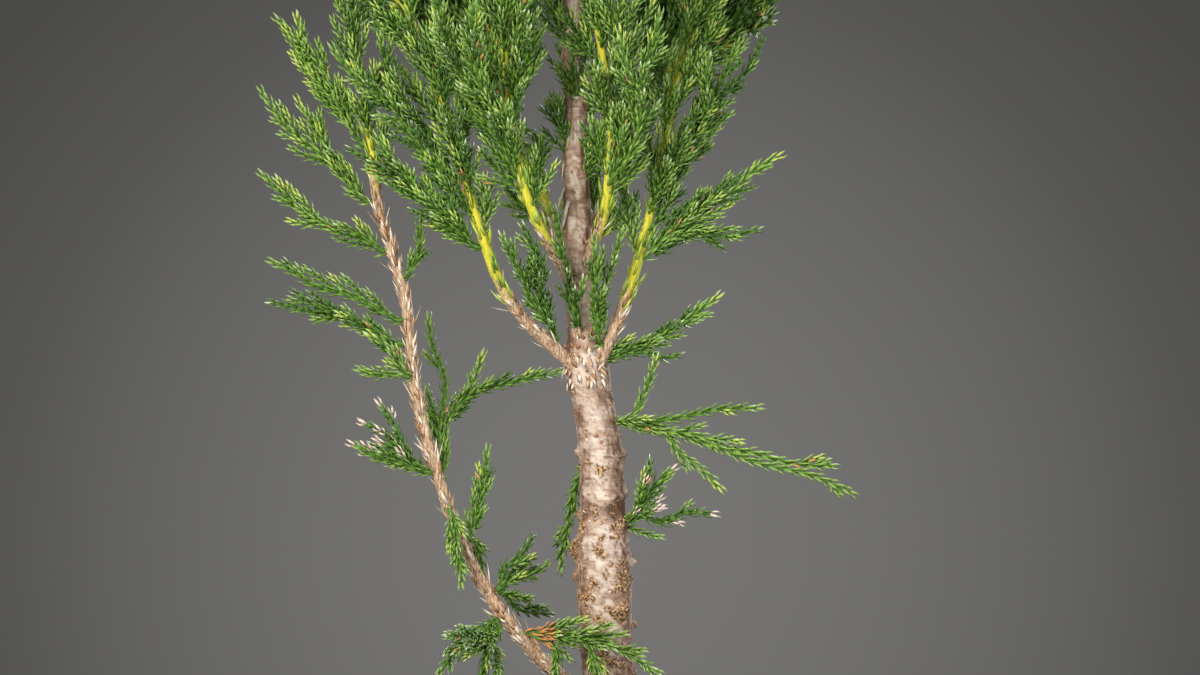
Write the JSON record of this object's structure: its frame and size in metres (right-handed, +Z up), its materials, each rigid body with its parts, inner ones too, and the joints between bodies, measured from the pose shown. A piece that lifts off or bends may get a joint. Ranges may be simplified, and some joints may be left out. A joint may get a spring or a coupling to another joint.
{
  "type": "potted spartan chinese juniper",
  "caption": "Young columnar conifer with a straight ringed trunk, whorled boughs and ascending feathery foliage, in a plain tapered nursery pot.",
  "frame": {"origin": "centre of the pot's underside, on the surface it stands on", "axes": "+Z up along the pot's axis, +X to the right and -Y to the front as the plant is seen in the picture"},
  "size_m": [0.166, 0.166, 0.645],
  "materials": {
    "pot": "injection-moulded black polypropylene with a dull satin face",
    "soil": "moist container mix of composted bark and coir, loose chips on top",
    "trunk": "thin reddish-brown bark with silvery papery patches, fine rings and corky scars",
    "bough": "tan flaking papery bark that turns smooth yellow-green towards the tips",
    "foliage": "short awl-shaped mid-green needles, paler and waxy inside, fresh tips yellow-green"
  },
  "bodies": {
    "root": {"back_left_top": "foliage", "back_right_top": "foliage", "bough_back_left": "bough", "bough_back_right": "bough", "bough_low_left": "bough", "bough_upper_left": "bough", "bough_upper_right": "bough", "bough_whorl_left": "bough", "bough_whorl_right": "bough", "crown_1_a": "foliage", "crown_1_b": "foliage", "crown_1_c": "foliage", "crown_1_d": "foliage", "crown_2_a": "foliage", "crown_2_b": "foliage", "crown_2_c": "foliage", "crown_2_d": "foliage", "crown_3_a": "foliage", "crown_3_b": "foliage", "crown_3_c": "foliage", "crown_4_a": "foliage", "crown_4_b": "foliage", "inner_left_1": "foliage", "inner_left_2": "foliage", "inner_right": "foliage", "leader": "foliage", "low_fan_1": "foliage", "low_fan_2": "foliage", "low_fan_3": "foliage", "low_spray_1": "foliage", "low_spray_2": "foliage", "low_spray_3": "foliage", "low_spray_4": "foliage", "low_spray_5": "foliage", "low_spray_6": "foliage", "low_spray_7": "foliage", "low_spray_8": "foliage", "low_spray_9": "foliage", "low_top": "foliage", "pot": "pot", "skirt_left": "foliage", "skirt_right": "foliage", "soil": "soil", "trunk": "trunk", "trunk_spray_1": "foliage", "trunk_spray_2": "foliage", "trunk_spray_3": "foliage", "trunk_spray_4": "foliage", "upper_left_fan_1": "foliage", "upper_left_fan_2": "foliage", "upper_left_top": "foliage", "upper_right_fan_1": "foliage", "upper_right_fan_2": "foliage", "upper_right_top": "foliage", "whorl_left_fan_1": "foliage", "whorl_left_fan_2": "foliage", "whorl_left_top": "foliage", "whorl_right_fan_1": "foliage", "whorl_right_fan_2": "foliage", "whorl_right_top": "foliage"}
  },
  "joints": []
}
